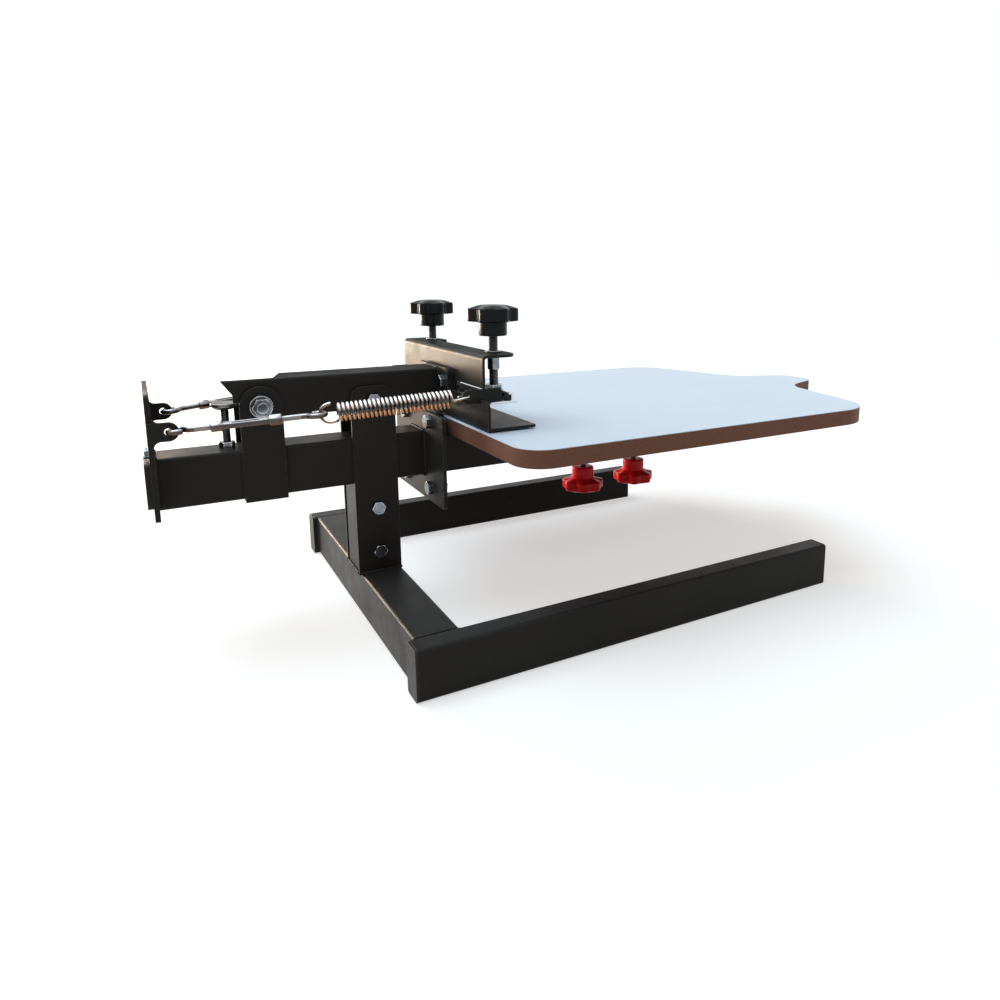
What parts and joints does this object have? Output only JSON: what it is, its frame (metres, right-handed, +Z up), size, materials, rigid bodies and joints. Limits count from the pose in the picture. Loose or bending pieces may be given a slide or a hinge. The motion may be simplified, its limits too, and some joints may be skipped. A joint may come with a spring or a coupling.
{
  "type": "tabletop screen printing press",
  "caption": "Tabletop press: a spring-balanced arm with a screw clamp holds a screen over a laminated platen on a steel tube frame.",
  "frame": {"origin": "middle of the press at table level: halfway along its length and on its middle plane", "axes": "+X forward to the free end of the platen, +Y to the right of a person who stands there facing the post, +Z up"},
  "size_m": [0.8784, 0.46, 0.3402],
  "materials": {
    "black_powder_coat": "semi-gloss black powder coat",
    "zinc": "bright zinc plated steel",
    "yellow_zinc": "satin zinc plated steel, slightly yellow",
    "spring_chrome": "bright plated spring wire",
    "bar_steel": "satin silver pressed profile",
    "black_plastic": "moulded black plugs",
    "knob_black": "glossy black moulded knob",
    "knob_red": "glossy red moulded knob",
    "laminate_white": "smooth white laminate with a slight sheen",
    "board_brown": "sealed brown board edge",
    "stop_grey": "grey moulded stop disc",
    "nylon": "natural nylon washer"
  },
  "bodies": {
    "base": {"rear_cross_tube": "black_powder_coat", "left_leg_tube": "black_powder_coat", "right_leg_tube": "black_powder_coat", "leg_plugs": "black_plastic", "post_tube": "black_powder_coat", "left_post_plate": "black_powder_coat", "right_post_plate": "black_powder_coat", "post_bolts": "zinc", "post_nuts": "zinc", "guide_screws": "zinc", "main_beam": "black_powder_coat", "beam_plug": "black_plastic", "anchor_plate": "black_powder_coat", "anchor_bolt": "zinc", "pivot_bracket": "black_powder_coat", "pivot_bolt": "zinc", "pivot_nut": "zinc", "pivot_washers": "zinc", "thrust_washers": "nylon", "stop_disc": "stop_grey", "stop_stud": "zinc", "stop_nuts": "zinc", "flange_plate": "black_powder_coat", "support_flange": "black_powder_coat", "flange_bolts": "zinc", "flange_nuts": "zinc", "support_tube": "black_powder_coat", "support_plug": "black_plastic"},
    "platen": {"platen_board": "board_brown", "platen_laminate": "laminate_white", "platen_bracket": "black_powder_coat", "platen_screws": "yellow_zinc", "platen_nuts": "zinc"},
    "rear_stud": {"rear_lock_stud": "zinc"},
    "rear_knob": {"rear_lock_knob": "knob_red"},
    "front_stud": {"front_lock_stud": "zinc"},
    "front_knob": {"front_lock_knob": "knob_red"},
    "arm": {"arm_channel": "black_powder_coat", "arm_end_plate": "black_powder_coat", "lower_jaw": "black_powder_coat", "clamp_head": "black_powder_coat", "head_bolts": "zinc", "head_nuts": "zinc", "spring_tabs": "black_powder_coat", "clamp_nuts": "zinc"},
    "clamp_bar": {"pressure_bar": "bar_steel"},
    "left_screw": {"left_clamp_stud": "zinc", "left_clamp_collar": "zinc", "left_clamp_knob": "knob_black"},
    "right_screw": {"right_clamp_stud": "zinc", "right_clamp_collar": "zinc", "right_clamp_knob": "knob_black"},
    "left_link": {"left_hooks": "yellow_zinc", "left_spring": "spring_chrome"},
    "left_buckle": {"left_turnbuckle": "yellow_zinc"},
    "right_link": {"right_hooks": "yellow_zinc", "right_spring": "spring_chrome"},
    "right_buckle": {"right_turnbuckle": "yellow_zinc"}
  },
  "joints": [
    {"name": "arm_swing", "type": "hinge", "parent": "base", "child": "arm", "pos_m": [-0.33425, 0, 0.2425], "axis": [0, -1, 0], "range_deg": [0, 30], "deforming": ["left_spring", "right_spring"]},
    {"name": "left_link_swing", "type": "hinge", "parent": "base", "child": "left_link", "pos_m": [-0.41725, -0.059, 0.2324], "axis": [0, -1, 0], "range_deg": [0, 20.6]},
    {"name": "left_turnbuckle_turn", "type": "hinge", "parent": "left_link", "child": "left_buckle", "pos_m": [-0.41025, -0.059, 0.2324], "axis": [0.9698, -0.2338, 0.0699], "range_deg": [-720, 720]},
    {"name": "right_link_swing", "type": "hinge", "parent": "base", "child": "right_link", "pos_m": [-0.41725, 0.059, 0.2324], "axis": [0, -1, 0], "range_deg": [0, 20.6]},
    {"name": "right_turnbuckle_turn", "type": "hinge", "parent": "right_link", "child": "right_buckle", "pos_m": [-0.41025, 0.059, 0.2324], "axis": [0.9698, 0.2338, 0.0699], "range_deg": [-720, 720]},
    {"name": "clamp_travel", "type": "slide", "parent": "arm", "child": "clamp_bar", "axis": [0, 0, 1], "range_m": [-0.015, 0]},
    {"name": "left_clamp_turn", "type": "hinge", "parent": "clamp_bar", "child": "left_screw", "pos_m": [-0.11325, -0.09, 0.308], "axis": [0, 0, 1], "range_deg": [-3600, 0]},
    {"name": "right_clamp_turn", "type": "hinge", "parent": "clamp_bar", "child": "right_screw", "pos_m": [-0.11325, 0.09, 0.308], "axis": [0, 0, 1], "range_deg": [-3600, 0]},
    {"name": "platen_travel", "type": "slide", "parent": "base", "child": "platen", "axis": [1, 0, 0], "range_m": [0, 0.07]},
    {"name": "rear_lock_travel", "type": "slide", "parent": "platen", "child": "rear_stud", "axis": [0, 0, 1], "range_m": [-0.006, 0]},
    {"name": "rear_lock_turn", "type": "hinge", "parent": "rear_stud", "child": "rear_knob", "pos_m": [0.05275, 0, 0.107], "axis": [0, 0, 1], "range_deg": [-1728, 0]},
    {"name": "front_lock_travel", "type": "slide", "parent": "platen", "child": "front_stud", "axis": [0, 0, 1], "range_m": [-0.006, 0]},
    {"name": "front_lock_turn", "type": "hinge", "parent": "front_stud", "child": "front_knob", "pos_m": [0.13275, 0, 0.107], "axis": [0, 0, 1], "range_deg": [-1728, 0]}
  ],
  "couplings": [
    {"joint": "left_link_swing", "follows": "arm_swing", "ratio": 0.6853},
    {"joint": "right_link_swing", "follows": "arm_swing", "ratio": 0.6853},
    {"joint": "left_clamp_turn", "follows": "clamp_travel", "rad_per_m": 4188.8},
    {"joint": "right_clamp_turn", "follows": "clamp_travel", "rad_per_m": 4188.8},
    {"joint": "rear_lock_turn", "follows": "rear_lock_travel", "rad_per_m": 5026.5},
    {"joint": "front_lock_turn", "follows": "front_lock_travel", "rad_per_m": 5026.5}
  ]
}
